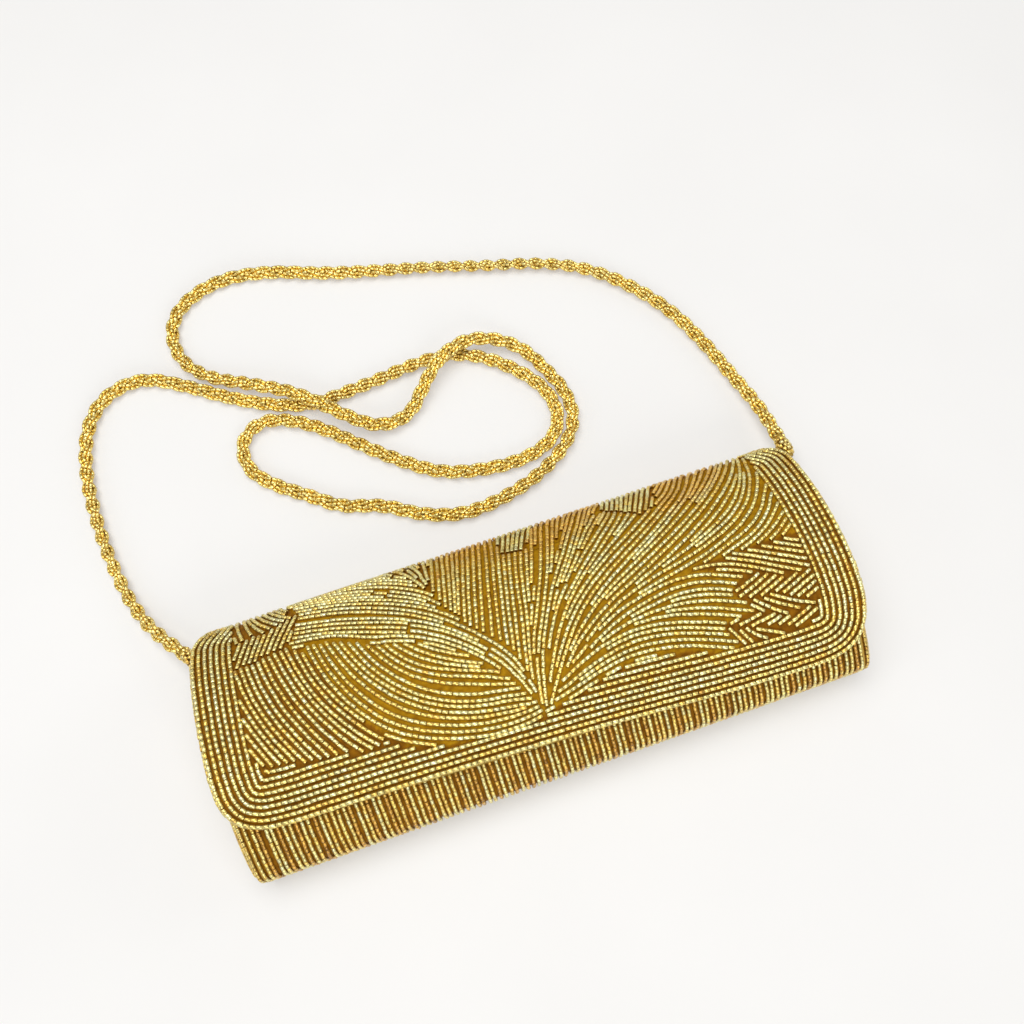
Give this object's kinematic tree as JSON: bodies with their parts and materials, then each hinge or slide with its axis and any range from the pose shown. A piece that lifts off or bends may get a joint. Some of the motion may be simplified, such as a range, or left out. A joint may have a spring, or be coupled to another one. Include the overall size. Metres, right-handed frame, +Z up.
{
  "type": "beaded clutch purse",
  "caption": "Gold beaded flap clutch with a fan pattern on its curved flap, a soft fold, a satin lined body and a braided bead shoulder strap lying behind it.",
  "frame": {"origin": "centre of the bottom of the bag's bounding box, strap left out: on the plane the back panel lies on", "axes": "+X along the bag towards the right end of the fold, +Y from the bottom edge to the fold, +Z up through the flap"},
  "size_m": [0.28, 0.2503, 0.04],
  "materials": {
    "gold_beads": "silver-lined gold cylinder beads sewn in rows",
    "stiff_board": "pressed bag board",
    "gold_satin": "olive-gold satin",
    "lining_satin": "smooth lining satin",
    "snap_brass": "polished plated brass",
    "strap_beads": "braided strings of gold glass beads"
  },
  "bodies": {
    "bag": {"back_bead_panel": "gold_beads", "base_bead_panel": "gold_beads", "front_bead_panel": "gold_beads", "left_end_cover": "gold_beads", "right_end_cover": "gold_beads", "front_board": "stiff_board", "base_board": "stiff_board", "back_board": "stiff_board", "left_end_board": "stiff_board", "right_end_board": "stiff_board", "front_satin_panel": "gold_satin", "mouth_binding": "gold_satin", "strap_tab_left": "gold_satin", "strap_tab_right": "gold_satin", "lining_pouch": "lining_satin", "fold_lining": "lining_satin", "slip_pocket": "lining_satin", "snap_socket": "snap_brass", "snap_socket_washer": "snap_brass", "strap_end_left": "strap_beads", "strap_end_right": "strap_beads", "strap_braid": "strap_beads"},
    "flap": {"flap_bead_skin": "gold_beads", "flap_stiffener": "stiff_board", "flap_lining": "lining_satin", "flap_edge_binding": "gold_satin", "snap_stud": "snap_brass", "snap_stud_washer": "snap_brass"}
  },
  "joints": [
    {"name": "flap_hinge", "type": "hinge", "parent": "bag", "child": "flap", "pos_m": [0, 0.04503, 0.00512], "axis": [-1, 0, 0], "range_deg": [0, 85]}
  ]
}
